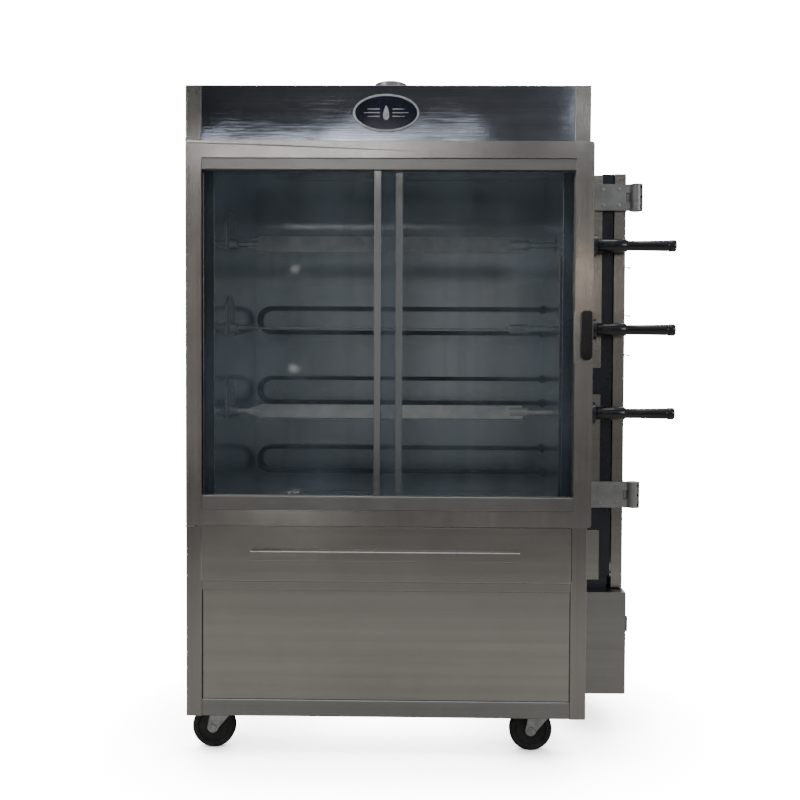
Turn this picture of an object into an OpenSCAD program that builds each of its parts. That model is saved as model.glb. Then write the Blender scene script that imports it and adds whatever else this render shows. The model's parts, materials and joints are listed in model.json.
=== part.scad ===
/* [Cabinet] */
// Width over the corner posts
cabinet_w = 1130; // [1120:2:1140]
// Depth from the front face of the posts to the back
cabinet_d = 640; // [620:10:700]
// Height of the roof above the floor
cabinet_h = 1900; // [1880:10:1960]
// Height of the cabinet's underside above the floor
base_z = 126.5; // [126:0.5:128]
// Width of each square corner post
post_w = 45; // [40:1:48]

/* [Oven] */
// Half the width of the oven cavity
cavity_half_w = 495; // [480:1:500]
// Distance from the front plane to the cavity's back wall
cavity_back_y = 560; // [540:5:580]
// Height of the cavity floor
cavity_floor_z = 697; // [690:1:705]
// Height of the cavity ceiling
cavity_top_z = 1765; // [1740:5:1780]
// Outer radius of a tubular heating element
element_r = 6.5; // [4:0.5:8]

/* [Door] */
// Height of the door's lower edge
door_z = 676; // [675:1:680]
// Height of the door's upper edge
door_top_z = 1737; // [1725:1:1738]
// Thickness of the door frame
door_t = 34; // [30:1:38]
// Width of each sliding pane
pane_w = 566; // [560:1:568]

/* [Spits] */
// Height of the lowest spit
spit_z = 984; // [970:1:995]
// Height from one spit to the next
spit_pitch = 254; // [240:1:260]
// Distance of the spits behind the front plane
spit_y = 215; // [210:1:218]
// Width of the flat spit blade
blade_w = 50; // [40:1:52]
// Thickness of the flat spit blade
blade_t = 5; // [4:0.5:7]

/* [Drive] */
// Teeth on the gear of each spit hub
gear_teeth = 45; // [45:1:45]
// Teeth on the pinion of each gearmotor
pinion_teeth = 15; // [15:1:15]
// Gear module
gear_module = 2; // [2:1:2]

/* [Casters] */
// Wheel diameter
wheel_d = 125; // [123:1:126]
// Distance of each swivel axis from the cabinet's centre plane
caster_x = 465; // [450:1:470]
// Distance of each swivel axis from the front or back plane
caster_y = 99; // [96:1:104]
// How far the wheel trails behind its swivel axis
caster_trail = 46; // [40:1:48]

/* [Hidden] */
$fn = 64;

STEEL = "#b9b8b3";
SATIN = "#a3a29c";
CASTING = "#c6c5c0";
BLACK = "#1c1c1f";
RUBBER = "#232325";
GLASS = "#5d7074";
ZINC = "#a9abad";

sheet = 2;          // every folded panel
gap = 0.3;          // between pieces that move past each other
fit = 0.05;         // radial clearance of a shaft in its bearing
half_w = cabinet_w / 2;
inner_half_w = half_w - post_w;
rail_h = 48;        // bottom rail of the base frame
rail_top = base_z + rail_h;
roof_z = cabinet_h - sheet;

// Front of the cabinet
fascia_z = door_top_z + 10;
sill_z = 486;
sill_top = 513;
drawer_z = 516;
drawer_top = 673;
drawer_half_w = 518;
drawer_proud = 20;

// Roof
flue_x = -12;
flue_y = 300;
flue_r = 51;
flue_h = 98;

// Door: its frame stands just off the posts
door_x0 = -554;
door_x1 = 570;
door_back = -1;
door_front = door_back - door_t;
stile_left = 44;
stile_right = 50;
open_x0 = door_x0 + stile_left;
open_x1 = door_x1 - stile_right;
rail_bottom = 44;
rail_head = 46;
track_z0 = door_z + rail_bottom;
track_z1 = door_top_z - rail_head;
track_low_h = 39;
track_high_h = 32;
groove = 16;        // how far a pane reaches into its tracks
lip = 14;           // how far the skin of each stile reaches in front of the panes
pivot_x = door_x0 + 10;
pivot_y = door_front + 11;
pivot_r = 5;

// Sliding panes: the right pane runs in front of the left one
pane_t = 8;
glass_t = 4;
pane_edge = 12;
pane_stile = 19;
pane_z0 = track_z0 + track_low_h - groove + 1;
pane_z1 = track_z1 - track_high_h + groove - 1;
pane_front_y = door_front + 10;
pane_rear_y = pane_front_y + pane_t + 4;

// Latch lever on the right stile
latch_x = 551;
latch_z = 1154;
latch_front = door_front - 17;
latch_l = 120;

// Spits and their drive
spit_tip_x = cavity_half_w - 1;
wall_out = half_w;
spit_angles = [52, 3, 80];   // how each blade hangs in its hub
spit_levels = [for (i = [0:2]) spit_z + i * spit_pitch];
hub_r = 31;
hub_x0 = cavity_half_w + 5;
hub_x1 = wall_out + 52;
shoulder_r = hub_r + 2;
core_r = 15.2;      // round core of the spit's drive section
gear_x = wall_out + 15;
gear_w = 18;
gear_r = gear_module * gear_teeth / 2;
pinion_r = gear_module * pinion_teeth / 2;
pinion_y = spit_y + gear_r + pinion_r;
pinion_shaft_r = 6;
pressure_angle = 25;
handle_x = wall_out + 53;
handle_hub_l = 91;
handle_grip_l = 127;
handle_knob_l = 22;
handle_end = handle_x + handle_hub_l + handle_grip_l + handle_knob_l;

// Drive column on the right side
column_y = 250;
column_back = 600;
column_z = 452;
column_top = 1712;
strip_x = 641;      // right edge of the inner strip
cover_x = 711;      // inside of the cover's side wall
cover_lip_x = 678;
cover_z = 443;
barrel_x = 742;
barrel_y = 242;
barrel_r = 20;
barrel_pin_r = 5;
hinge_levels = [733, 1642];
hinge_half_h = 40;
knuckle_half_h = 13.7;
toggle_levels = [1167, 1290, 1440];
toggle_y = 300;
toggle_rest = -13;

// Control box under the drive column
box_x1 = 717;
box_y0 = 205;
box_y1 = 500;
box_z0 = 126;
box_z1 = 438;
knob_y = 300;
knob_z = 316;
knob_shaft_r = 4;
gland_x = 630;
gland_z = 186;
gland_bore_r = 5.5;

// Casters
axle_z = wheel_d / 2;
axle_r = 6;
plate_z = 152;
caster_spots = [
    [-caster_x, caster_y], [caster_x, caster_y],
    [-caster_x, cabinet_d - caster_y], [caster_x, cabinet_d - caster_y]
];

// The object stands on the floor and its own middle is the origin.
// It reaches from the left wheels to the spit handles, and from the latch's screw to the back.
left_end = -caster_x - caster_trail - wheel_d / 2;
row_x = -(handle_end + left_end) / 2;
row_y = -(cabinet_d + latch_front) / 2;

// ---------- helpers ----------

// Everything below is drawn from the cabinet's centre plane, front plane and the floor
module piece(c) {
    color(c)
        translate([row_x, row_y, 0])
            children();
}

// A box given by its two opposite corners
module slab(a, b) {
    translate(a) cube(b - a);
}

// A cylinder along X, Y or Z that starts at a point
module rod_x(p, r, l) {
    translate(p) rotate([0, 90, 0]) cylinder(r = r, h = l);
}

module rod_y(p, r, l) {
    translate(p) rotate([-90, 0, 0]) cylinder(r = r, h = l);
}

module rod_z(p, r, l) {
    translate(p) cylinder(r = r, h = l);
}

// Extrudes a YZ outline along X, or an XZ outline along Y
module along_x(x0, l) {
    translate([x0, 0, 0]) rotate([90, 0, 90]) linear_extrude(l) children();
}

module along_y(y0, l) {
    translate([0, y0 + l, 0]) rotate([90, 0, 0]) linear_extrude(l) children();
}

// A rectangle with rounded corners, built from squares and circles
module round_rect(x0, z0, x1, z1, r) {
    translate([x0 + r, z0]) square([x1 - x0 - 2 * r, z1 - z0]);
    translate([x0, z0 + r]) square([x1 - x0, z1 - z0 - 2 * r]);
    for (x = [x0 + r, x1 - r], z = [z0 + r, z1 - r])
        translate([x, z]) circle(r);
}

// A pan-head screw that stands on a face looking along -Y or +X
module screw_y(p) {
    rod_y([p[0], p[1] - 2.5, p[2]], 5, 2.5);
}

module screw_x(p) {
    rod_x(p, 5, 2.5);
}

// ---------- cabinet ----------

module base_frame() piece(SATIN) {
    side = half_w - sheet;
    cross_d = 108;
    difference() {
        union() {
            slab([-inner_half_w, sheet, base_z], [inner_half_w, 32, rail_top]);
            slab([-inner_half_w, cabinet_d - 32, base_z], [inner_half_w, cabinet_d - sheet, rail_top]);
            for (s = [-1, 1])
                slab([s > 0 ? side - 30 : -side, post_w, base_z],
                     [s > 0 ? side : -side + 30, cabinet_d - post_w, rail_top]);
            for (y = [post_w, cabinet_d - post_w - cross_d])
                slab([30 - side, y, plate_z + 4], [side - 30, y + cross_d, rail_top]);
            for (c = caster_spots)
                slab([c[0] - 50, c[1] - 50, plate_z], [c[0] + 50, c[1] + 50, plate_z + 5]);
        }
        // the rails are hollow box sections
        slab([-inner_half_w + 4, sheet + 3, base_z + 3], [inner_half_w - 4, 29, rail_top - 3]);
        slab([-inner_half_w + 4, cabinet_d - 29, base_z + 3], [inner_half_w - 4, cabinet_d - sheet - 3, rail_top - 3]);
        for (y = [post_w + 3, cabinet_d - post_w - cross_d + 3])
            slab([35 - side, y, plate_z + 8], [side - 35, y + cross_d - 6, rail_top - 3]);
    }
    for (c = caster_spots)
        rod_z([c[0], c[1], plate_z - 14], axle_r, 14);
}

module corner_posts() piece(STEEL) {
    for (x = [-half_w, inner_half_w], y = [0, cabinet_d - post_w])
        difference() {
            slab([x, y, base_z], [x + post_w, y + post_w, roof_z]);
            slab([x + sheet, y + sheet, base_z + 3], [x + post_w - sheet, y + post_w - sheet, roof_z - 3]);
        }
}

module side_panels() piece(SATIN) {
    slab([sheet - half_w, post_w, rail_top], [2 * sheet - half_w, cabinet_d - post_w, roof_z]);
    difference() {
        slab([half_w - 2 * sheet, post_w, rail_top], [half_w - sheet, cabinet_d - post_w, roof_z]);
        for (z = spit_levels)
            rod_x([half_w - 10, spit_y, z], hub_r + 3, 20);
    }
}

module back_panel() piece(SATIN) {
    slab([-inner_half_w, cabinet_d - 2 * sheet, rail_top], [inner_half_w, cabinet_d - sheet, roof_z]);
}

module top_panel() piece(STEEL) {
    difference() {
        slab([-half_w, 0, roof_z], [half_w, cabinet_d, cabinet_h]);
        rod_z([flue_x, flue_y, roof_z - 1], flue_r - sheet / 2, 5);
    }
}

module fascia() piece(STEEL) {
    slab([-inner_half_w, sheet, fascia_z], [inner_half_w, 2 * sheet, roof_z]);
    slab([-inner_half_w, sheet, fascia_z], [inner_half_w, 38, fascia_z + sheet]);
}

module flue_collar() piece(ZINC) {
    translate([flue_x, flue_y, cabinet_h])
        difference() {
            union() {
                cylinder(r = flue_r, h = flue_h);
                cylinder(r = flue_r + 22, h = 3);
            }
            translate([0, 0, -1]) cylinder(r = flue_r - sheet / 2, h = flue_h + 2);
        }
}

function ellipse(a, b, n = 72) = [for (i = [0:n - 1]) [a * cos(360 * i / n), b * sin(360 * i / n)]];

module badge() piece("#23262f") {
    translate([-4, 0, (fascia_z + cabinet_h) / 2]) {
        along_y(0, sheet) polygon(ellipse(92, 52));
        along_y(-2, 2) difference() {
            polygon(ellipse(92, 52));
            polygon(ellipse(82, 43));
        }
    }
}

module lower_panel() piece(STEEL) {
    side = inner_half_w - 1;
    front = 7;
    z0 = rail_top + 0.5;
    z1 = sill_z - 0.5;
    difference() {
        slab([-side, front, z0], [side, 26, z1]);
        slab([sheet - side, front + sheet, z0 + sheet], [side - sheet, 27, z1 - sheet]);
    }
}

module drawer_sill() piece(STEEL) {
    difference() {
        slab([-inner_half_w, 2, sill_z], [inner_half_w, 34, sill_top]);
        slab([-inner_half_w + sheet, 2 + sheet, sill_z + sheet], [inner_half_w - sheet, 32, sill_top - sheet]);
    }
}

// ---------- oven ----------

module oven_liner() piece(SATIN) {
    w = cavity_half_w;
    join = 0.2;
    slab([-w - sheet, 42, cavity_floor_z], [-w, cavity_back_y, cavity_top_z]);
    difference() {
        slab([w, 42, cavity_floor_z], [w + sheet, cavity_back_y, cavity_top_z]);
        for (z = spit_levels)
            rod_x([w - 1, spit_y, z], blade_w / 2 + 3, 5);
    }
    slab([-w - sheet, cavity_back_y + join, cavity_floor_z], [w + sheet, cavity_back_y + sheet, cavity_top_z]);
    slab([-w - sheet, 42, cavity_floor_z - sheet], [w + sheet, cavity_back_y + sheet, cavity_floor_z - join]);
    difference() {
        slab([-w - sheet, 42, cavity_top_z + join], [w + sheet, cavity_back_y + sheet, cavity_top_z + sheet]);
        rod_z([flue_x, flue_y, cavity_top_z - 1], flue_r - sheet / 2, 5);
    }
}

// One hairpin: two straight legs, a half-round bend and two wall bushings
module hairpin(z) {
    bend = 41;
    y = cavity_back_y - 20;
    left = -480 + bend;
    right = cavity_half_w - 8;
    for (s = [-1, 1]) {
        rod_x([left, y, z + s * bend], element_r, right - left);
        rod_x([right, y, z + s * bend], 13, 8);
        rod_x([right - 4, y, z + s * bend], 9, 5);
    }
    translate([left, y, z])
        rotate([90, 0, 0])
            rotate([0, 0, 90])
                rotate_extrude(angle = 180)
                    translate([bend, 0]) circle(element_r, $fn = 32);
}

module heating_elements() piece("#4a4542") {
    for (z = [807, 1045, 1284])
        hairpin(z);
}

module wall_guard() piece(STEEL) {
    x = cavity_half_w - 7;
    difference() {
        slab([x, 60, 712], [x + sheet, 285, 1462]);
        for (i = [0, 1])
            rod_x([x - 1, spit_y, spit_levels[i]], blade_w / 2 + 5, 4);
    }
    for (y = [75, 270], z = [730, 1110, 1445])
        rod_x([x + sheet, y, z], 6, 5);
}

// A tall round-topped plate on the left wall with the bush that carries a spit's point
module spit_bearings() piece(CASTING) {
    x = -cavity_half_w;
    for (z = spit_levels) {
        along_x(x, 3) {
            translate([spit_y - 50, z - 22]) square([100, 70]);
            translate([spit_y, z + 48]) circle(50);
        }
        difference() {
            rod_x([x, spit_y, z], 16, 24);
            rod_x([x + 3, spit_y, z], 8 + fit, 30);
        }
    }
}

// ---------- spits ----------

// Half-thickness angle of an involute tooth at radius r
function inv(r, rb) = let (t = sqrt(max(0, r * r / (rb * rb) - 1))) t * 180 / PI - atan(t);
function flank(r, teeth, m, slack) =
    let (rp = m * teeth / 2, rb = rp * cos(pressure_angle))
    90 / teeth - slack / rp * 180 / PI - (inv(r, rb) - inv(rp, rb));

function gear_points(teeth, m) =
    let (
        rp = m * teeth / 2,
        rb = rp * cos(pressure_angle),
        rr = rp - 1.25 * m,
        ro = rp + 0.95 * m,
        r0 = max(rr + 0.2, rb),
        steps = [for (i = [0:4]) r0 + (ro - r0) * i / 4]
    )
    [for (k = [0:teeth - 1])
        let (c = 360 * k / teeth)
        each concat(
            [let (a = c - flank(r0, teeth, m, 0.12)) rr * [cos(a), sin(a)]],
            [for (r = steps) let (a = c - flank(r, teeth, m, 0.12)) r * [cos(a), sin(a)]],
            [for (i = [4:-1:0]) let (r = steps[i], a = c + flank(r, teeth, m, 0.12)) r * [cos(a), sin(a)]],
            [let (a = c + flank(r0, teeth, m, 0.12)) rr * [cos(a), sin(a)]]
        )];

// The keyed outline shared by a hub's bore and a spit's drive section
module drive_key(clear) {
    circle(core_r + clear);
    square([blade_w + 1 + 2 * clear, 8 + 2 * clear], center = true);
}

// Sleeve, shoulder and gear of one spit's drive
module drive_gear(i) piece(ZINC) {
    z = spit_levels[i - 1];
    translate([0, spit_y, z])
        difference() {
            union() {
                rod_x([hub_x0, 0, 0], hub_r, hub_x1 - hub_x0);
                rod_x([wall_out + 12 + gap, 0, 0], shoulder_r, hub_x1 - wall_out - 12 - gap);
                along_x(gear_x, gear_w) polygon(gear_points(gear_teeth, gear_module));
            }
            rotate([spit_angles[i - 1], 0, 0])
                along_x(hub_x0 - 1, hub_x1 - hub_x0 + 2) drive_key(gap);
        }
}

// Flat blade with a pointed pin on the left and a keyed drive section on the right
module spit(i) piece(STEEL) {
    blade_x0 = -440;
    blade_x1 = 398;
    point = 42;
    translate([0, spit_y, spit_levels[i - 1]])
        rotate([spit_angles[i - 1], 0, 0]) {
            rod_x([3.5 - spit_tip_x, 0, 0], 8, spit_tip_x + blade_x0 + 30);
            translate([0, 0, -blade_t / 2])
                linear_extrude(blade_t)
                    polygon([
                        [blade_x0, -9], [blade_x0 + point, -blade_w / 2],
                        [blade_x1, -blade_w / 2], [blade_x1, blade_w / 2],
                        [blade_x0 + point, blade_w / 2], [blade_x0, 9]
                    ]);
            rod_x([blade_x1 - 40, 0, 0], 14.5, 56);
            rod_x([blade_x1, 0, 0], 9, handle_x - blade_x1);
            along_x(cavity_half_w + 12, hub_x1 - cavity_half_w - 14) drive_key(0);
            rod_x([handle_x - 10, 0, 0], 13, 10);
        }
}

// Turned black handle: hub, waisted grip and end knob
module handle(i) piece(BLACK) {
    translate([handle_x, spit_y, spit_levels[i - 1]])
        rotate([0, 90, 0])
            rotate_extrude()
                polygon([
                    [0, 0], [18, 0], [20.5, 3], [20.5, handle_hub_l - 4], [18, handle_hub_l],
                    [15, handle_hub_l + 2], [15, handle_hub_l + 40],
                    [16.5, handle_hub_l + handle_grip_l - 4], [15.5, handle_hub_l + handle_grip_l],
                    [18, handle_hub_l + handle_grip_l + 2],
                    [18, handle_end - handle_x - 3], [16, handle_end - handle_x], [0, handle_end - handle_x]
                ]);
}

module pinion(i) piece(ZINC) {
    translate([0, pinion_y, spit_levels[i - 1]]) {
        along_x(gear_x + 1, gear_w - 2) polygon(gear_points(pinion_teeth, gear_module));
        rod_x([gear_x - 6, 0, 0], pinion_shaft_r, gear_w + 30);
    }
}

// ---------- drive column ----------

wide_slots = [[1040, 1122], [620, 690]];

module drive_chassis() piece(STEEL) {
    difference() {
        union() {
            slab([wall_out, spit_y - 52, column_z], [wall_out + 3, column_back - 2, column_top]);
            slab([wall_out, column_y, column_z + 14], [strip_x, column_y + sheet, column_top]);
            slab([wall_out, column_back - 4, column_z], [strip_x, column_back - 2, column_top]);
            slab([wall_out, column_y, column_top - sheet], [strip_x, column_back - 2, column_top]);
            for (z = spit_levels)
                rod_x([wall_out, spit_y, z], hub_r + 9, 12);
        }
        for (z = spit_levels)
            rod_x([wall_out - 1, spit_y, z], hub_r + fit, 20);
        // the gears reach through the front strip
        for (z = spit_levels)
            slab([wall_out + 12, column_y - 1, z - 34], [gear_x + gear_w + 3, column_y + sheet + 1, z + 34]);
        for (s = wide_slots)
            slab([wall_out + 12, column_y - 1, s[0]], [strip_x + 1, column_y + sheet + 1, s[1]]);
    }
}

module gearmotors() piece(BLACK) {
    for (z = spit_levels) {
        difference() {
            slab([gear_x + gear_w + 4, pinion_y - 17, z - 34], [gear_x + gear_w + 46, pinion_y + 135, z + 34]);
            rod_x([gear_x + gear_w, pinion_y, z], pinion_shaft_r + fit, 24);
        }
        rod_x([gear_x + gear_w + 46, pinion_y + 95, z], 32, 52);
        rod_x([gear_x + gear_w + 98, pinion_y + 95, z], 24, 4);
        for (y = [60, 125], s = [-1, 1])
            rod_x([wall_out + 3, pinion_y + y, z + s * 25], 5, gear_x + gear_w + 1 - wall_out);
    }
}

module column_plate() piece(BLACK) {
    slab([604, column_y + 3, column_z + 26], [675, column_y + 5, column_top - sheet]);
    slab([592, column_y + 3, box_z1], [664, column_y + 52, column_z + 13]);
    slab([604, column_y + 4, column_z - 1], [667, column_y + 30, column_z + 27]);
}

module hinge_brackets() piece(CASTING) {
    for (z = hinge_levels) {
        difference() {
            union() {
                slab([611, barrel_y - 6, z - hinge_half_h], [barrel_x, barrel_y + 4, z + hinge_half_h]);
                rod_z([barrel_x, barrel_y, z - hinge_half_h], barrel_r, 2 * hinge_half_h);
                for (s = [-1, 1])
                    rod_y([624, barrel_y + 3, z + s * 26], 8, column_y - barrel_y - 3);
            }
            slab([cover_x, barrel_y - 40, z - knuckle_half_h - gap],
                 [barrel_x + 40, barrel_y + 40, z + knuckle_half_h + gap]);
        }
        rod_z([barrel_x, barrel_y, z - hinge_half_h], barrel_pin_r, 2 * hinge_half_h);
    }
}

module drive_cover() piece(STEEL) {
    difference() {
        union() {
            slab([cover_x, column_y, cover_z], [cover_x + sheet, column_back, column_top + 4]);
            slab([cover_lip_x, column_y, cover_z], [cover_x + 1, column_y + sheet, column_top + 4]);
            slab([640, column_back - sheet, cover_z], [cover_x + 1, column_back, column_top + 4]);
            slab([640, column_y + 6, column_top + 2], [cover_x + 1, column_back, column_top + 4]);
            for (z = toggle_levels)
                rod_x([cover_x, toggle_y, z], 7.5, 7);
        }
        for (z = toggle_levels)
            rod_x([cover_x - 1, toggle_y, z], 4, 12);
    }
}

module cover_hinge_leaves() piece(CASTING) {
    x = cover_x + sheet;
    for (z = hinge_levels)
        difference() {
            union() {
                rod_z([barrel_x, barrel_y, z - knuckle_half_h], barrel_r, 2 * knuckle_half_h);
                slab([x, barrel_y, z - knuckle_half_h], [barrel_x - barrel_r + 4, 290, z + knuckle_half_h]);
                slab([x, barrel_y + 26, z - hinge_half_h], [x + 5, 310, z + hinge_half_h]);
            }
            rod_z([barrel_x, barrel_y, z - 50], barrel_pin_r + fit, 100);
        }
}

module toggle(i) piece(ZINC) {
    translate([cover_x + 5, toggle_y, toggle_levels[i - 1]]) {
        rod_y([0, -2.4, 0], 2.6, 4.8);
        rotate([0, -toggle_rest, 0]) {
            rod_x([0, 0, 0], 1.6, 18);
            rod_x([16, 0, 0], 2.6, 8);
        }
    }
}

// ---------- control box ----------

module control_box() piece(STEEL) {
    difference() {
        slab([wall_out, box_y0, box_z0], [box_x1, box_y1, box_z1]);
        slab([wall_out + sheet, box_y0 + sheet, box_z0 + sheet], [box_x1 - sheet, box_y1 - sheet, box_z1 - sheet]);
        rod_x([box_x1 - 10, knob_y, knob_z], knob_shaft_r + fit, 20);
        rod_y([gland_x, box_y1 - 10, gland_z], 9, 20);
    }
}

module thermostat_knob() piece(BLACK) {
    rod_x([box_x1 - 12, knob_y, knob_z], knob_shaft_r, 20);
    rod_x([box_x1 + 1, knob_y, knob_z], 26, 5);
    rod_x([box_x1 + 5, knob_y, knob_z], 20, 12);
    slab([box_x1 + 5, knob_y - 5, knob_z - 24], [box_x1 + 24, knob_y + 5, knob_z + 24]);
}

module cable_gland() piece(BLACK) {
    difference() {
        union() {
            rod_y([gland_x, box_y1 - 8, gland_z], 9, 28);
            translate([gland_x, box_y1, gland_z])
                rotate([-90, 0, 0]) cylinder(r = 14, h = 6, $fn = 6);
            rod_y([gland_x, box_y1 + 7, gland_z], 11, 14);
        }
        rod_y([gland_x, box_y1 - 9, gland_z], gland_bore_r, 40);
    }
}

// ---------- door ----------

module door_pivots() piece(ZINC) {
    for (z = [door_z - 1 - 4, door_top_z + 1]) {
        slab([pivot_x - 12, door_front + 2, z], [pivot_x + 14, 0, z + 4]);
        rod_z([pivot_x, pivot_y, z < door_top_z ? z : z - 15], pivot_r, 19);
    }
}

module door_outline(inset) {
    round_rect(door_x0 + inset, door_z + inset, door_x1 - inset, door_top_z - inset, 8);
}

// The hole for the panes, grown sideways and upright
module opening(wider, taller) {
    translate([open_x0 - wider, track_z0 - taller])
        square([open_x1 - open_x0 + 2 * wider, track_z1 - track_z0 + 2 * taller]);
}

module door_frame() piece(STEEL) {
    lug = 14;
    difference() {
        union() {
            difference() {
                along_y(door_front, door_t) door_outline(0);
                along_y(door_front - 1, door_t + 2) opening(0, 0);
                along_y(door_front + sheet, door_t) opening(lip, 0);
                along_y(door_front + sheet, door_t) difference() {
                    door_outline(sheet);
                    opening(lip + sheet, sheet);
                }
            }
            for (z = [door_z, door_top_z - lug])
                slab([door_x0 + 1, door_front + 1, z], [door_x0 + 25, door_front + 25, z + lug]);
        }
        for (z = [door_z, door_top_z - lug])
            rod_z([pivot_x, pivot_y, z - 1], pivot_r + fit, lug + 2);
        translate([door_x0, door_back, door_z - 1])
            rotate([0, 0, 45]) cube([8, 8, 3000], center = true);
    }
}

// Head and foot tracks, each with a groove for either pane
module pane_tracks() piece(SATIN) {
    y0 = door_front + 3;
    y1 = door_back - 2;
    difference() {
        union() {
            slab([open_x0 - lip, y0, track_z0], [open_x1 + lip, y1, track_z0 + track_low_h]);
            slab([open_x0 - lip, y0, track_z1 - track_high_h], [open_x1 + lip, y1, track_z1]);
        }
        for (y = [pane_front_y, pane_rear_y]) {
            slab([open_x0 - lip - 1, y - 0.5, pane_z0 - 1], [open_x1 + lip + 1, y + pane_t + 0.5, track_z0 + track_low_h + 1]);
            slab([open_x0 - lip - 1, y - 0.5, track_z1 - track_high_h - 1], [open_x1 + lip + 1, y + pane_t + 0.5, pane_z1 + 1]);
        }
    }
}

module latch_plate() piece(CASTING) {
    slab([latch_x - 34, door_front - 2, latch_z - 20], [latch_x - 16, door_front, latch_z + latch_l - 2]);
}

// Black lever with a rounded lower end, which turns on its lower screw
module latch_lever() piece(BLACK) {
    y = door_front - 14;
    along_y(y, 11) {
        translate([latch_x, latch_z]) circle(15.5);
        translate([latch_x, latch_z])
            polygon([[-15.5, 0], [15.5, 0], [15, latch_l - 5], [10, latch_l], [-9, latch_l], [-14, latch_l - 5]]);
    }
    rod_y([latch_x, latch_front, latch_z], 6, 16.7);
}

// A pane's frame around its glass; the stile that overlaps the other pane is wider
module pane_frame(x0, y, stile_first) {
    a = stile_first ? pane_stile : pane_edge;
    b = stile_first ? pane_edge : pane_stile;
    difference() {
        slab([x0, y, pane_z0], [x0 + pane_w, y + pane_t, pane_z1]);
        slab([x0 + a, y - 1, pane_z0 + pane_edge], [x0 + pane_w - b, y + pane_t + 1, pane_z1 - pane_edge]);
    }
}

module pane_glass(x0, y, stile_first) {
    a = stile_first ? pane_stile : pane_edge;
    b = stile_first ? pane_edge : pane_stile;
    m = (pane_t - glass_t) / 2;
    slab([x0 + a, y + m, pane_z0 + pane_edge], [x0 + pane_w - b, y + m + glass_t, pane_z1 - pane_edge]);
}

pane_right_x = open_x1 + lip - 2 - pane_w;
pane_left_x = open_x0 - lip + 2;

module pane_right_frame() piece(STEEL) pane_frame(pane_right_x, pane_front_y, true);
module pane_right_glass() piece(GLASS) pane_glass(pane_right_x, pane_front_y, true);
module pane_left_frame() piece(STEEL) pane_frame(pane_left_x, pane_rear_y, false);
module pane_left_glass() piece(GLASS) pane_glass(pane_left_x, pane_rear_y, false);

// ---------- drawer ----------

pan_half_w = 490;
pan_z0 = 532;
pan_z1 = 642;

module drawer_pan() piece(SATIN) {
    difference() {
        slab([-pan_half_w, 0, pan_z0], [pan_half_w, 545, pan_z1]);
        slab([-pan_half_w + sheet, sheet, pan_z0 + sheet], [pan_half_w - sheet, 545 - sheet, pan_z1 + 1]);
    }
    for (s = [-1, 1])
        slab([s > 0 ? pan_half_w - 1 : -500, 10, pan_z1 - 20], [s > 0 ? 500 : 1 - pan_half_w, 545, pan_z1 - 16]);
}

module drawer_front() piece(STEEL) {
    difference() {
        slab([-drawer_half_w, -drawer_proud, drawer_z], [drawer_half_w, -0.5, drawer_top]);
        slab([-drawer_half_w + sheet, sheet - drawer_proud, drawer_z + sheet],
             [drawer_half_w - sheet, 1, drawer_top - sheet]);
    }
    slab([-pan_half_w, -drawer_proud + 1, pan_z0], [pan_half_w, 0, pan_z0 + 20]);
}

// A long folded lip with closed ends, pulled from underneath
module drawer_pull() piece(STEEL) {
    x0 = -375;
    x1 = 375;
    y0 = -drawer_proud - 20;
    y1 = -drawer_proud;
    z0 = 577;
    z1 = 606;
    slab([x0, y0, z1 - 4], [x1, y1, z1]);
    slab([x0, y0, z0], [x1, y0 + 3, z1 - 2]);
    for (x = [x0, x1 - 3])
        slab([x, y0, z0], [x + 3, y1, z1 - 2]);
}

module drawer_rails() piece(ZINC) {
    for (s = [-1, 1])
        slab([s > 0 ? 492 : -512, 46, pan_z1 - 30], [s > 0 ? 512 : -492, 590, pan_z1 - 20 - gap]);
}

// ---------- casters ----------

module at_caster(i) {
    translate([caster_spots[i - 1][0], caster_spots[i - 1][1], 0]) children();
}

// Swivel fork: raceway, crown, two cheeks and the axle
module fork(i) piece(ZINC) {
    at_caster(i) {
        difference() {
            union() {
                rod_z([0, 0, 131], 30, 14);
                rod_z([0, 0, 144], 36, plate_z - 144 - gap);
                for (y = [-22, 19])
                    along_y(y, 3) {
                        polygon([[-46, 134], [-34, 145], [26, 145], [14, 112], [8 - caster_trail, axle_z - 12],
                                 [-15 - caster_trail, axle_z + 4], [-52, 112]]);
                        translate([-caster_trail, axle_z]) circle(16);
                    }
                slab([-44, -22, 131], [26, 22, 134]);
            }
            rod_z([0, 0, 125], axle_r + fit, 40);
        }
        rod_y([-caster_trail, -26, axle_z], axle_r, 52);
        for (y = [-26, 22])
            rod_y([-caster_trail, y, axle_z], 10, 4);
    }
}

module wheel(i) piece(RUBBER) {
    r = wheel_d / 2;
    at_caster(i)
        translate([-caster_trail, 0, axle_z])
            rotate([90, 0, 0])
                rotate_extrude($fn = 96)
                    polygon([
                        [axle_r + fit, -18], [16, -18], [18, -12], [44, -10], [46, -15], [r - 6, -16],
                        [r, -9], [r, 9], [r - 6, 16], [46, 15], [44, 10], [18, 12], [16, 18], [axle_r + fit, 18]
                    ]);
}

// ---------- screws ----------

module fasteners() piece(ZINC) {
    for (z = hinge_levels, s = [-1, 1], x = [640, 690])
        screw_y([x, barrel_y - 6, z + s * 24]);
    for (y = [box_y0 + 25, box_y1 - 25], z = [box_z0 + 25, box_z1 - 25])
        screw_x([box_x1, y, z]);
}

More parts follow.
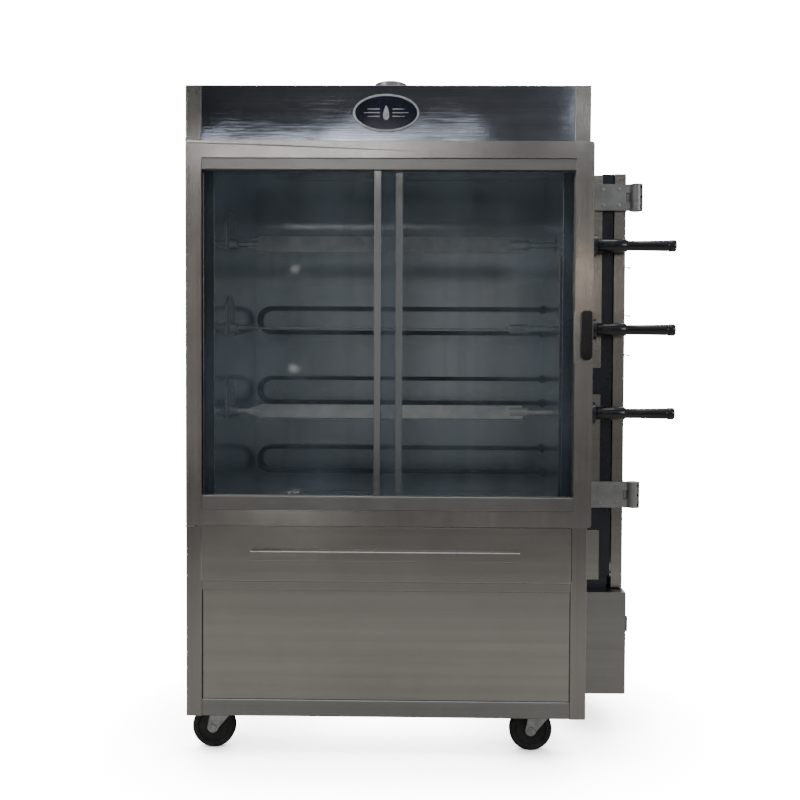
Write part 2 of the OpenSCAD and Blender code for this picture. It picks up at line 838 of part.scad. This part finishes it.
base_frame();
corner_posts();
side_panels();
back_panel();
top_panel();
fascia();
flue_collar();
badge();
lower_panel();
drawer_sill();
oven_liner();
heating_elements();
wall_guard();
spit_bearings();
drive_chassis();
gearmotors();
column_plate();
hinge_brackets();
control_box();
cable_gland();
door_pivots();
drawer_rails();
fasteners();
door_frame();
pane_tracks();
latch_plate();
latch_lever();
pane_left_frame();
pane_left_glass();
pane_right_frame();
pane_right_glass();
drawer_pan();
drawer_front();
drawer_pull();
drive_cover();
cover_hinge_leaves();
toggle(1);  // toggle_1
toggle(2);  // toggle_2
toggle(3);  // toggle_3
drive_gear(1);  // drive_gear_1
drive_gear(2);  // drive_gear_2
drive_gear(3);  // drive_gear_3
spit(1);  // spit_1
spit(2);  // spit_2
spit(3);  // spit_3
handle(1);  // handle_1
handle(2);  // handle_2
handle(3);  // handle_3
pinion(1);  // pinion_1
pinion(2);  // pinion_2
pinion(3);  // pinion_3
thermostat_knob();
fork(1);  // fork_1
fork(2);  // fork_2
fork(3);  // fork_3
fork(4);  // fork_4
wheel(1);  // wheel_1
wheel(2);  // wheel_2
wheel(3);  // wheel_3
wheel(4);  // wheel_4
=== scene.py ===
"""A stainless rotisserie cabinet oven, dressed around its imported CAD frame."""
import json
import math

import bmesh
import bpy
from mathutils import Matrix, Vector


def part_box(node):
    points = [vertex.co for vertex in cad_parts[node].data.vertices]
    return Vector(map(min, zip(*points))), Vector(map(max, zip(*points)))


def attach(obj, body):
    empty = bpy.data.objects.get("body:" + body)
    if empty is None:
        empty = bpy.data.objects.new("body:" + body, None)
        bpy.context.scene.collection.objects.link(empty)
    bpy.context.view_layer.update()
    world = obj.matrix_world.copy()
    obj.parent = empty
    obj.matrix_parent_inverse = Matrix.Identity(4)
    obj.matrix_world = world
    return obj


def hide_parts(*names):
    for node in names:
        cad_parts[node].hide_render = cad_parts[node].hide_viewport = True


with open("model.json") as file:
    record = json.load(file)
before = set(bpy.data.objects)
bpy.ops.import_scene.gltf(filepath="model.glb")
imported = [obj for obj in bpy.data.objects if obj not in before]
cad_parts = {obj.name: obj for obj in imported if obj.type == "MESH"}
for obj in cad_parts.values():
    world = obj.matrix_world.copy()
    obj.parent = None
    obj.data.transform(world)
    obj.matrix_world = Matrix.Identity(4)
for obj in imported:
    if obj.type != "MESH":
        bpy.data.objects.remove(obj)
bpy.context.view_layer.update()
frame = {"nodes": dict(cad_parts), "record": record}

SCENE = bpy.context.scene

# Places that everything else is worked out from, in metres
POSTS_LOW, POSTS_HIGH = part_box("corner_posts")
MIDDLE_X = (POSTS_LOW.x + POSTS_HIGH.x) / 2
FRONT_Y = POSTS_LOW.y
HINGES_LOW, HINGES_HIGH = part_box("hinge_brackets")
HINGE_AXIS = Vector((HINGES_HIGH.x - 0.020, HINGES_LOW.y + 0.020, 0))
HINGE_LEVELS = (HINGES_LOW.z + 0.040, HINGES_HIGH.z - 0.040)


# ---------- camera, floor and light ----------

CAMERA_DISTANCE = 2.40      # from the cabinet's front plane
CAMERA_RIGHT = 0.185        # of the cabinet's middle
CAMERA_HEIGHT = 1.088
CAMERA_PITCH = 1.46         # degrees below level
CAMERA_YAW = 0.74           # turned left
CAMERA_ROLL = 0.33          # degrees anticlockwise
CAMERA_SHIFT_X = -0.0518
SENSOR = 36.0               # millimetres, as is the lens
LENS = 38.6
BACKDROP = 18.0             # brightness of the plain surroundings, as the camera sees them


def add_camera():
    data = bpy.data.cameras.new("camera")
    data.sensor_width = SENSOR
    data.lens = LENS
    data.shift_x = CAMERA_SHIFT_X
    camera = bpy.data.objects.new("camera", data)
    camera.location = (MIDDLE_X + CAMERA_RIGHT, FRONT_Y - CAMERA_DISTANCE, CAMERA_HEIGHT)
    tilt = Matrix.Rotation(math.radians(90 - CAMERA_PITCH), 4, "X")
    roll = Matrix.Rotation(math.radians(CAMERA_ROLL), 4, "Z")
    yaw = Matrix.Rotation(math.radians(CAMERA_YAW), 4, "Z")
    camera.matrix_world = Matrix.Translation(camera.location) @ yaw @ tilt @ roll
    SCENE.collection.objects.link(camera)
    SCENE.camera = camera


WARM_WHITE = (1.0, 0.95, 0.90)
COOL_WHITE = (0.93, 0.97, 1.0)

# The room behind the camera, which the steel and the glass mirror. Each light faces the cabinet:
# name, distance right of the cabinet's middle, height, (width, height), power in watts, colour
TUBES = (
    ("rail_tube", -0.68, 2.33, (1.12, 0.06), 1.45, (1.0, 1.0, 1.0)),
    ("fascia_tube", -0.12, 2.41, (0.90, 0.06), 0.45, (1.0, 1.0, 1.0)),
)
WINDOW = ("window", -0.12, 1.35, (1.3, 1.5), 2.0, (0.9, 0.97, 1.0))
PATCHES = (
    ("left_wall", -1.38, 1.35, (0.45, 1.5), 0.55, (1.0, 0.90, 0.86)),
    ("doorway", 0.90, 1.64, (0.08, 0.17), 0.25, (1.0, 0.80, 0.62)),
    ("high_window", 0.97, 2.57, (0.16, 0.34), 0.35, (0.95, 0.98, 1.0)),
)
LAMPS = ((-0.92, 1.84, 0.05), (-0.93, 1.15, 0.05), (-0.92, 0.25, 0.09))    # right, height, width
LAMP_POWER = 32.0           # watts for each square metre of a lamp's width squared
LAMP_COLOUR = (1.0, 0.97, 0.92)
WINDOW_BEHIND = 0.2         # how far behind the camera
LAMPS_BEHIND = 1.2


def add_area_light(name, place, target, size, power, colour=(1.0, 1.0, 1.0)):
    data = bpy.data.lights.new(name, "AREA")
    data.shape = "RECTANGLE"
    data.size = size[0]
    data.size_y = size[1]
    data.energy = power
    data.color = colour
    light = bpy.data.objects.new(name, data)
    light.location = place
    light.rotation_euler = (Vector(target) - Vector(place)).to_track_quat("-Z", "Y").to_euler()
    light.visible_camera = False
    SCENE.collection.objects.link(light)


def add_mirrored_light(name, right, z, size, power, colour, behind=0.0):
    """A light level with or behind the camera that faces the cabinet squarely."""
    x = MIDDLE_X + right
    place = (x, FRONT_Y - CAMERA_DISTANCE - behind, z)
    add_area_light(name, place, (x, FRONT_Y, z), size, power, colour)


def add_lights():
    """Soft studio light all round, then what the front mirrors."""
    aim = (MIDDLE_X, FRONT_Y, 1.0)
    key = (MIDDLE_X - 3.2, FRONT_Y - 2.6, 2.6)
    fill = (MIDDLE_X + 2.9, FRONT_Y - 2.2, 1.9)
    top = (MIDDLE_X, FRONT_Y + 0.6, 4.2)
    back = (MIDDLE_X + 1.5, FRONT_Y + 3.6, 2.6)
    add_area_light("key", key, aim, (1.6, 2.4), 28, WARM_WHITE)
    add_area_light("fill", fill, aim, (1.0, 1.6), 14, COOL_WHITE)
    add_area_light("top", top, aim, (3.0, 3.0), 65)
    add_area_light("back", back, aim, (2.5, 2.5), 24)
    for tube in TUBES:
        add_mirrored_light(*tube)
    add_mirrored_light(*WINDOW, behind=WINDOW_BEHIND)
    for lamp, (right, z, width) in enumerate(LAMPS):
        size = (width, width * 0.7)
        power = LAMP_POWER * width ** 2
        add_mirrored_light(f"lamp_{lamp}", right, z, size, power, LAMP_COLOUR, LAMPS_BEHIND)
    for patch in PATCHES:
        add_mirrored_light(*patch)


# Grey of the room from straight down (0) through level (0.5) to straight up (1)
ROOM_GREYS = (
    (0.0, 0.13), (0.34, 0.14), (0.41, 0.07), (0.50, 0.13), (0.56, 0.11), (0.68, 0.12), (1.0, 0.55),
)
ROOM_PATCHES = (0.30, 1.9)  # darkest and brightest of the room's uneven patches


def set_span(node, low, high, to_low=0.0, to_high=1.0):
    """Makes a Map Range node carry low..high to to_low..to_high."""
    node.inputs["From Min"].default_value = low
    node.inputs["From Max"].default_value = high
    node.inputs["To Min"].default_value = to_low
    node.inputs["To Max"].default_value = to_high


def set_room_greys(ramp):
    """Warm greys low in the room, and slightly cool ones high in it."""
    while len(ramp.elements) < len(ROOM_GREYS):
        ramp.elements.new(0.5)
    for element, (height, grey) in zip(ramp.elements, ROOM_GREYS):
        warmth = 1.14 - 0.20 * height
        element.position = height
        element.color = (grey * warmth, grey, grey * (2 - warmth), 1)


def add_world():
    """White for the camera, and a soft uneven room for reflections."""
    world = bpy.data.worlds.new("studio")
    world.use_nodes = True
    SCENE.world = world
    tree = world.node_tree
    tree.nodes.clear()
    make = tree.nodes.new
    link = tree.links.new
    output = make("ShaderNodeOutputWorld")
    coord = make("ShaderNodeTexCoord")
    split = make("ShaderNodeSeparateXYZ")
    link(coord.outputs["Generated"], split.inputs[0])
    height = make("ShaderNodeMapRange")
    set_span(height, -1.0, 1.0)
    link(split.outputs["Z"], height.inputs["Value"])
    ramp = make("ShaderNodeValToRGB")
    set_room_greys(ramp.color_ramp)
    link(height.outputs[0], ramp.inputs[0])
    patches = make("ShaderNodeTexNoise")
    patches.inputs["Scale"].default_value = 2.2
    patches.inputs["Detail"].default_value = 1.0
    link(coord.outputs["Generated"], patches.inputs["Vector"])
    spread = make("ShaderNodeMapRange")
    set_span(spread, 0.35, 0.65, *ROOM_PATCHES)
    link(patches.outputs["Fac"], spread.inputs["Value"])
    room = make("ShaderNodeBackground")
    link(ramp.outputs[0], room.inputs["Color"])
    link(spread.outputs[0], room.inputs["Strength"])
    plain = make("ShaderNodeBackground")
    plain.inputs["Color"].default_value = (1.0, 1.0, 1.0, 1)
    plain.inputs["Strength"].default_value = BACKDROP
    path = make("ShaderNodeLightPath")
    mix = make("ShaderNodeMixShader")
    link(path.outputs["Is Camera Ray"], mix.inputs[0])
    link(room.outputs[0], mix.inputs[1])
    link(plain.outputs[0], mix.inputs[2])
    link(mix.outputs[0], output.inputs[0])


FLOOR_HALF = 6.0


def add_floor():
    mesh = bpy.data.meshes.new("floor")
    corners = [(x * FLOOR_HALF, y * FLOOR_HALF, 0) for x, y in ((-1, -1), (1, -1), (1, 1), (-1, 1))]
    mesh.from_pydata(corners, [], [(0, 1, 2, 3)])
    floor = bpy.data.objects.new("floor", mesh)
    SCENE.collection.objects.link(floor)
    floor.data.materials.append(floor_material())


# ---------- material building blocks ----------

class Shader:
    """One material's node tree, with a short call for each kind of node."""

    def __init__(self, name):
        self.material = bpy.data.materials.new(name)
        self.material.use_nodes = True
        self.tree = self.material.node_tree
        self.surface = self.tree.nodes["Principled BSDF"]
        self.place = self.add("ShaderNodeTexCoord").outputs["Object"]

    def add(self, kind):
        return self.tree.nodes.new(kind)

    def link(self, source, target):
        self.tree.links.new(source, target)

    def set(self, **values):
        """Constant values on the surface's own sockets; underscores stand for spaces."""
        for name, value in values.items():
            self.surface.inputs[name.replace("_", " ")].default_value = value

    def stretched(self, scale):
        """Object coordinates scaled along each axis."""
        node = self.add("ShaderNodeMapping")
        node.inputs["Scale"].default_value = scale
        self.link(self.place, node.inputs["Vector"])
        return node.outputs[0]

    def noise(self, scale, detail=4.0, roughness=0.55, vector=None, distortion=0.0):
        node = self.add("ShaderNodeTexNoise")
        node.inputs["Scale"].default_value = scale
        node.inputs["Detail"].default_value = detail
        node.inputs["Roughness"].default_value = roughness
        node.inputs["Distortion"].default_value = distortion
        self.link(vector or self.place, node.inputs["Vector"])
        return node.outputs["Fac"]

    def span(self, value, low, high, to_low=0.0, to_high=1.0):
        node = self.add("ShaderNodeMapRange")
        set_span(node, low, high, to_low, to_high)
        self.link(value, node.inputs["Value"])
        return node.outputs[0]

    def maths(self, operation, a, b):
        node = self.add("ShaderNodeMath")
        node.operation = operation
        for socket, value in zip(node.inputs, (a, b)):
            if isinstance(value, (int, float)):
                socket.default_value = value
            else:
                self.link(value, socket)
        return node.outputs[0]

    def total(self, *parts):
        """Sum of (value, share) pairs."""
        sum_so_far = None
        for value, share in parts:
            part = self.maths("MULTIPLY", value, share)
            sum_so_far = part if sum_so_far is None else self.maths("ADD", sum_so_far, part)
        return sum_so_far

    def blend_colours(self, fac, a, b, mode="MIX"):
        node = self.add("ShaderNodeMix")
        node.data_type = "RGBA"
        node.blend_type = mode
        if isinstance(fac, (int, float)):
            node.inputs["Factor"].default_value = fac
        else:
            self.link(fac, node.inputs["Factor"])
        for socket, value in ((node.inputs[6], a), (node.inputs[7], b)):
            if isinstance(value, tuple):
                socket.default_value = (*value, 1.0)
            else:
                self.link(value, socket)
        return node.outputs[2]

    def bump(self, height, strength, distance):
        """Adds relief on top of any that the surface already has."""
        node = self.add("ShaderNodeBump")
        node.inputs["Strength"].default_value = strength
        node.inputs["Distance"].default_value = distance
        self.link(height, node.inputs["Height"])
        normal = self.surface.inputs["Normal"]
        if normal.is_linked:
            self.link(normal.links[0].from_socket, node.inputs["Normal"])
        self.link(node.outputs[0], normal)

    def to(self, value, name):
        self.link(value, self.surface.inputs[name])


def grain_scale(axis, along, across):
    """Texture scale that draws a pattern out along one axis."""
    return tuple(along if letter == axis else across for letter in "XYZ")


def brushed_metal(name, light, dark, rough=(0.13, 0.30), grain="X", wavy=0.0):
    """Rolled sheet with a directional grain, wiped smudges and broad tone changes."""
    s = Shader(name)
    hair = s.noise(1.0, 3.0, 0.7, s.stretched(grain_scale(grain, 3.0, 700.0)))
    streaks = s.noise(1.0, 2.0, 0.5, s.stretched(grain_scale(grain, 0.6, 40.0)))
    wipes = s.noise(4.0, 5.0, 0.6, distortion=1.2)
    spots = s.noise(28.0, 6.0, 0.7)
    tone = s.total((hair, 0.35), (streaks, 0.35), (wipes, 0.30))
    s.to(s.blend_colours(s.span(tone, 0.30, 0.72), dark, light), "Base Color")
    wear = s.total((hair, 0.4), (wipes, 0.5), (spots, 0.15))
    s.to(s.span(wear, 0.25, 0.78, *rough), "Roughness")
    s.set(Metallic=1.0, Anisotropic=0.35)
    s.bump(s.total((hair, 1.0), (wipes, 0.6)), 0.10, 0.0006)
    if wavy:
        s.bump(s.noise(5.0, 1.5, 0.4), 1.0, wavy)
    return s.material


def floor_material():
    """Pale and lit like the backdrop, with painted soft contact shadows under the object and painted shade
    darkening it away from the cabinet.
    """
    s = Shader("pale_floor")
    speckle = s.noise(35.0, 5.0)
    split = s.add("ShaderNodeSeparateXYZ")
    s.link(s.place, split.inputs[0])
    # painted shade: the floor's colour darkens from near the cabinet out towards the camera
    fade_start = FRONT_Y - 3.2
    fade_end = FRONT_Y - 0.9
    near = s.span(split.outputs["Y"], fade_start, fade_end)
    pale = s.blend_colours(speckle, (0.48, 0.455, 0.42), (0.52, 0.495, 0.46))
    s.to(s.blend_colours(near, (0.25, 0.235, 0.22), pale), "Base Color")
    s.to(s.span(speckle, 0.3, 0.7, 0.55, 0.7), "Roughness")
    # painted shadow: ambient occlusion dims the floor's glow for the camera under and around the object
    corner = s.add("ShaderNodeAmbientOcclusion")
    corner.inputs["Distance"].default_value = 0.45
    corner.samples = 8
    seen = s.add("ShaderNodeLightPath").outputs["Is Camera Ray"]
    openness = s.maths("POWER", corner.outputs["AO"], 2.2)
    s.to(s.maths("MULTIPLY", s.maths("MULTIPLY", openness, BACKDROP), seen), "Emission Strength")
    s.set(Emission_Color=(1.0, 1.0, 1.0, 1.0))
    return s.material


def cast_metal(name, light, dark, metallic=0.85):
    """Light grey casting with a sandy skin and rubbed high spots."""
    s = Shader(name)
    sand = s.noise(420.0, 4.0, 0.6)
    cloud = s.noise(22.0, 4.0, 0.6)
    s.to(s.blend_colours(s.span(cloud, 0.3, 0.7), dark, light), "Base Color")
    s.to(s.span(sand, 0.3, 0.7, 0.34, 0.52), "Roughness")
    s.set(Metallic=metallic)
    s.bump(sand, 0.25, 0.0004)
    return s.material


def plated_metal(name, light, dark):
    """Zinc plate: faint mottling and dull scuffs."""
    s = Shader(name)
    mottle = s.noise(60.0, 3.0, 0.5, distortion=0.8)
    scuff = s.noise(9.0, 6.0, 0.7)
    s.to(s.blend_colours(s.span(mottle, 0.35, 0.65), dark, light), "Base Color")
    s.to(s.span(scuff, 0.3, 0.7, 0.24, 0.46), "Roughness")
    s.set(Metallic=1.0)
    s.bump(s.noise(350.0, 3.0), 0.12, 0.0003)
    return s.material


def heat_scaled(name):
    """Element sheath: dark oxide with rusty and bluish patches."""
    s = Shader(name)
    patch = s.noise(14.0, 6.0, 0.65)
    grit = s.noise(300.0, 4.0)
    tint = s.blend_colours(s.span(patch, 0.35, 0.65), (0.016, 0.015, 0.016), (0.05, 0.042, 0.038))
    s.to(tint, "Base Color")
    s.to(s.span(grit, 0.3, 0.7, 0.42, 0.66), "Roughness")
    s.set(Metallic=0.6)
    s.bump(grit, 0.3, 0.0003)
    return s.material


def glossy_black(name, tint=(0.012, 0.012, 0.015), rough=(0.10, 0.26)):
    """Moulded or enamelled black with fine orange peel and finger marks."""
    s = Shader(name)
    prints = s.noise(9.0, 5.0, 0.6)
    peel = s.noise(240.0, 2.0)
    lighter = tuple(c * 1.7 + 0.002 for c in tint)
    s.to(s.blend_colours(s.span(prints, 0.35, 0.75), tint, lighter), "Base Color")
    s.to(s.span(prints, 0.3, 0.75, *rough), "Roughness")
    s.set(Coat_Weight=0.4, Coat_Roughness=0.12)
    s.bump(peel, 0.05, 0.0004)
    return s.material


def worn_rubber(name):
    """Tyre black with a matt skin and pale dust."""
    s = Shader(name)
    dust = s.noise(18.0, 6.0, 0.7)
    skin = s.noise(500.0, 3.0)
    s.to(s.blend_colours(s.span(dust, 0.4, 0.75), (0.016, 0.016, 0.017), (0.06, 0.058, 0.055)), "Base Color")
    s.to(s.span(dust, 0.3, 0.7, 0.5, 0.8), "Roughness")
    s.bump(skin, 0.25, 0.0004)
    return s.material


def pane_glass(name):
    """Tinted toughened glass with a faint film that catches the light."""
    s = Shader(name)
    film = s.noise(2.4, 4.0, 0.55, distortion=0.6)
    wipe = s.noise(1.0, 3.0, 0.6, s.stretched((9.0, 9.0, 2.0)))
    veil = s.maths("ADD", s.maths("MULTIPLY", film, 0.6), s.maths("MULTIPLY", wipe, 0.4))
    s.to(s.blend_colours(s.span(veil, 0.35, 0.65), (0.038, 0.062, 0.086), (0.17, 0.22, 0.27)), "Base Color")
    s.to(s.span(veil, 0.3, 0.7, 0.02, 0.07), "Roughness")
    s.to(s.span(veil, 0.35, 0.65, 0.12, 0.28), "Alpha")
    s.set(IOR=1.5, Specular_IOR_Level=0.7)
    return s.material


MATERIALS = {}


def look(maker, name, *tones, **options):
    MATERIALS[name] = maker(name, *tones, **options)


look(brushed_metal, "stainless_brushed", (0.57, 0.55, 0.515), (0.42, 0.405, 0.38))
# painted light and shade: the next four stainless looks are lighter and darker copies of the brushed steel
# above. The light upright one is painted light and the post and shaded ones are painted shade. The dark
# one's blue-grey is a painted reflection of a dark room, while its smoother finish and waves are real.
look(brushed_metal, "stainless_upright_lit", (0.64, 0.61, 0.585), (0.46, 0.44, 0.425), grain="Z")
look(brushed_metal, "stainless_post_shaded", (0.51, 0.495, 0.47), (0.37, 0.355, 0.34), grain="Z")
look(brushed_metal, "stainless_shaded", (0.40, 0.39, 0.39), (0.30, 0.29, 0.29), grain="Z")
look(
    brushed_metal, "stainless_dark_reflection", (0.40, 0.43, 0.50), (0.27, 0.295, 0.355),
    rough=(0.06, 0.12), wavy=0.0022,
)
# painted highlight: this pale grey is light on the first spit; the other two spits take the darker cast
# aluminium grey, which is painted shade on them
look(cast_metal, "spit_steel_lit", (0.86, 0.86, 0.84), (0.66, 0.66, 0.65), metallic=0.4)
look(
    brushed_metal, "stainless_satin", (0.46, 0.455, 0.445), (0.34, 0.335, 0.325),
    rough=(0.24, 0.42),
)
look(
    brushed_metal, "liner_steel", (0.57, 0.59, 0.61), (0.35, 0.37, 0.39),
    rough=(0.14, 0.28), grain="Z",
)
look(cast_metal, "cast_aluminium", (0.49, 0.49, 0.49), (0.36, 0.36, 0.36))
look(plated_metal, "zinc_steel", (0.60, 0.61, 0.62), (0.42, 0.43, 0.44))
look(heat_scaled, "element_steel")
look(glossy_black, "black_enamel", (0.017, 0.020, 0.029), (0.2, 0.4))
look(glossy_black, "black_plastic")
look(glossy_black, "badge_enamel", (0.008, 0.012, 0.026), (0.06, 0.16))
look(plated_metal, "badge_silver", (0.75, 0.76, 0.78), (0.58, 0.60, 0.62))
look(worn_rubber, "caster_rubber")
look(pane_glass, "pane_glass")


# ---------- the CAD nodes, with softened edges ----------

SLOTS = {part["node"]: part["material_slot"] for part in frame["record"]["subparts"]}
BODY_OF = {
    node: body
    for body, nodes in frame["record"]["behaviour"]["bodies"].items()
    for node in nodes
}
# nodes that look different from their slot's own material; the lighter and darker copies of one steel among
# them are painted light and shade, on the posts, door and pane frames, latch plate, fascia and spits
LOOKS = {
    "corner_posts": "stainless_post_shaded",
    "control_box": "stainless_satin",
    "door_frame": "stainless_upright_lit",
    "pane_left_frame": "stainless_upright_lit",
    "pane_right_frame": "stainless_shaded",
    "fascia": "stainless_dark_reflection",
    "latch_plate": "stainless_upright_lit",
    "spit_1": "spit_steel_lit",
    "spit_2": "cast_aluminium",
    "spit_3": "cast_aluminium",
}
# rounds on the sharp edges of every node, and of the few that are rounder
USUAL_EDGE = 0.0008
EDGE_RADIUS = {"control_box": 0.0018, "handle_1": 0.0015, "handle_2": 0.0015, "handle_3": 0.0015}
# radius of the folds along the front of each sheet-metal node
BEND_RADIUS = {
    "door_frame": 0.0034,
    "pane_tracks": 0.0024,
    "drawer_front": 0.0032,
    "drawer_pull": 0.0032,
    "drawer_sill": 0.0024,
    "corner_posts": 0.0030,
    "base_frame": 0.0032,
    "drive_cover": 0.0016,
}
PLAIN_NODES = {"pane_left_glass", "pane_right_glass"}    # flat sheets that need no rounds
SHARP = math.radians(40)    # edges that turn more than this are rounded
CREASE = math.radians(35)   # and more than this are shaded as a crease


def mark_bends(mesh):
    """Weights the long sharp edges on the frontmost plane, where the sheet is folded."""
    shortest = 0.1
    weight = mesh.edges.layers.float.new("bevel_weight_edge")
    front = min(vert.co.y for vert in mesh.verts)
    for edge in mesh.edges:
        at_front = max(vert.co.y for vert in edge.verts) < front + 0.001
        if at_front and edge.calc_length() > shortest and edge.calc_face_angle(0) > SHARP:
            edge[weight] = 1.0


def shade_smooth(piece):
    for face in piece.data.polygons:
        face.use_smooth = True
    piece.data.set_sharp_from_angle(angle=CREASE)


def new_piece(name, mesh):
    """An object in the scene made of a finished bmesh, which it frees."""
    data = bpy.data.meshes.new(name)
    mesh.to_mesh(data)
    mesh.free()
    piece = bpy.data.objects.new(name, data)
    SCENE.collection.objects.link(piece)
    return piece


def add_rounds(piece, name, radius, segments, limit):
    """A bevel on the edges that limit picks: those with a weight, or those that turn sharply."""
    rounds = piece.modifiers.new(name, "BEVEL")
    rounds.width = radius
    rounds.segments = segments
    rounds.limit_method = limit
    rounds.angle_limit = SHARP
    rounds.harden_normals = True


def soften(node):
    """A copy of a CAD node with small rounds on its sharp edges, which stands for the node."""
    source = frame["nodes"][node]
    piece = bpy.data.objects.new(node + "_finished", source.data.copy())
    SCENE.collection.objects.link(piece)
    mesh = bmesh.new()
    mesh.from_mesh(piece.data)
    bmesh.ops.remove_doubles(mesh, verts=mesh.verts, dist=1e-6)
    bmesh.ops.dissolve_limit(
        mesh, angle_limit=math.radians(0.5), verts=mesh.verts, edges=mesh.edges, delimit=set()
    )
    if node in BEND_RADIUS:
        mark_bends(mesh)
    mesh.to_mesh(piece.data)
    mesh.free()
    if node in BEND_RADIUS:
        add_rounds(piece, "bends", BEND_RADIUS[node], 3, "WEIGHT")
    add_rounds(piece, "rounds", EDGE_RADIUS.get(node, USUAL_EDGE), 2, "ANGLE")
    shade_smooth(piece)
    return piece


def flat_plate(name, outlines, y, thickness):
    """Thin plates facing -Y, one for each outline of (x, z) points given clockwise from the front."""
    mesh = bmesh.new()
    for outline in outlines:
        corners = [mesh.verts.new((x, y, z)) for x, z in outline]
        face = mesh.faces.new(corners)
        face.normal_update()
        if face.normal.y > 0:
            face.normal_flip()
        grown = bmesh.ops.extrude_face_region(mesh, geom=[face])
        moved = [item for item in grown["geom"] if isinstance(item, bmesh.types.BMVert)]
        bmesh.ops.translate(mesh, verts=moved, vec=(0, -thickness, 0))
    bmesh.ops.recalc_face_normals(mesh, faces=mesh.faces)
    return new_piece(name, mesh)


def turned(name, profile, place, direction, sides):
    """A lathe-turned piece: profile is (radius, height) pairs that climb along direction."""
    mesh = bmesh.new()
    rings = []
    for radius, height in profile:
        ring = []
        for k in range(sides):
            angle = 2 * math.pi * k / sides
            ring.append(mesh.verts.new((radius * math.cos(angle), radius * math.sin(angle), height)))
        rings.append(ring)
    for low, high in zip(rings, rings[1:]):
        for k in range(sides):
            mesh.faces.new((low[k], low[(k + 1) % sides], high[(k + 1) % sides], high[k]))
    mesh.faces.new(list(reversed(rings[0])))
    mesh.faces.new(rings[-1])
    turn = Vector(direction).to_track_quat("Z", "Y").to_matrix().to_4x4()
    bmesh.ops.transform(mesh, matrix=Matrix.Translation(place) @ turn, verts=mesh.verts)
    piece = new_piece(name, mesh)
    shade_smooth(piece)
    return piece


def dress(piece, material, body):
    """Gives a new piece its look and the body it rides on."""
    piece.data.materials.append(MATERIALS[material])
    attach(piece, body)


def full_turn(count):
    """Angles of count equal steps round a circle."""
    return [2 * math.pi * k / count for k in range(count)]


def oval_outline(middle, reach_x, reach_z):
    outline = []
    for turn in full_turn(72):
        outline.append((middle.x + reach_x * math.cos(turn), middle.z + reach_z * math.sin(turn)))
    return outline


def flame_outline(middle):
    """A drop that narrows towards its tip."""
    half_width = 0.008
    half_height = 0.020
    outline = []
    for turn in full_turn(24):
        narrow = 1 - 0.45 * math.cos(turn)
        x = middle.x + half_width * narrow * math.sin(turn)
        outline.append((x, middle.z + half_height * math.cos(turn)))
    return outline


def bar_outlines(middle):
    """Three tapering bars on each side of the flame, the middle one longest."""
    root = 0.0016
    tip = 0.0006
    bars = []
    for side in (-1, 1):
        for row, reach in ((0.010, 0.052), (0.0, 0.062), (-0.010, 0.052)):
            inner = middle.x + side * 0.018
            outer = middle.x + side * reach
            z = middle.z + row
            bars.append([(inner, z - root), (inner, z + root), (outer, z + tip), (outer, z - tip)])
    return bars


def add_badge_details(badge):
    """A dark field inside the oval badge's silver rim, and a plain flame-and-bars emblem on it."""
    low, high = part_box("badge")
    badge.data.materials.append(MATERIALS["badge_silver"])
    for face in badge.data.polygons:
        if face.center.y < low.y + 0.0015:
            face.material_index = 1
    middle = (low + high) / 2
    rim = 0.0058
    oval = oval_outline(middle, high.x - middle.x - rim, high.z - middle.z - rim)
    field = flat_plate("badge_field", [oval], low.y + 0.0002, 0.0006)
    dress(field, "badge_enamel", "cabinet")
    outlines = [flame_outline(middle)] + bar_outlines(middle)
    emblem = flat_plate("badge_emblem", outlines, low.y - 0.0003, 0.0004)
    dress(emblem, "badge_silver", "cabinet")


def add_hinge_screws():
    """Socket screws down the outer edge of both column hinges."""
    head = 0.0042
    pitch = 0.029
    face = 0.0026
    profile = [
        (head, 0), (head, 0.0020), (head * 0.8, face), (head * 0.55, face), (head * 0.5, 0.0008),
    ]
    x = HINGE_AXIS.x + 0.012
    y = HINGE_AXIS.y - 0.0155
    outward = (0.6, -1, 0)
    for hinge, z in enumerate(HINGE_LEVELS, 1):
        for place, offset in (("low", -pitch), ("middle", 0.0), ("high", pitch)):
            screw = turned(f"hinge_{hinge}_screw_{place}", profile, (x, y, z + offset), outward, 20)
            body = "column_cover" if place == "middle" else "cabinet"
            dress(screw, "black_enamel", body)


def finish_nodes():
    """Gives every CAD node its look, and all but the glass a rounded stand-in."""
    for node, source in frame["nodes"].items():
        material = MATERIALS[LOOKS.get(node, SLOTS[node])]
        source.data.materials.clear()
        source.data.materials.append(material)
        if node in PLAIN_NODES:
            continue
        piece = soften(node)
        piece.data.materials.clear()
        piece.data.materials.append(material)
        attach(piece, BODY_OF[node])
        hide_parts(node)
        if node == "badge":
            add_badge_details(piece)


add_camera()
add_world()
add_lights()
add_floor()
finish_nodes()
add_hinge_screws()
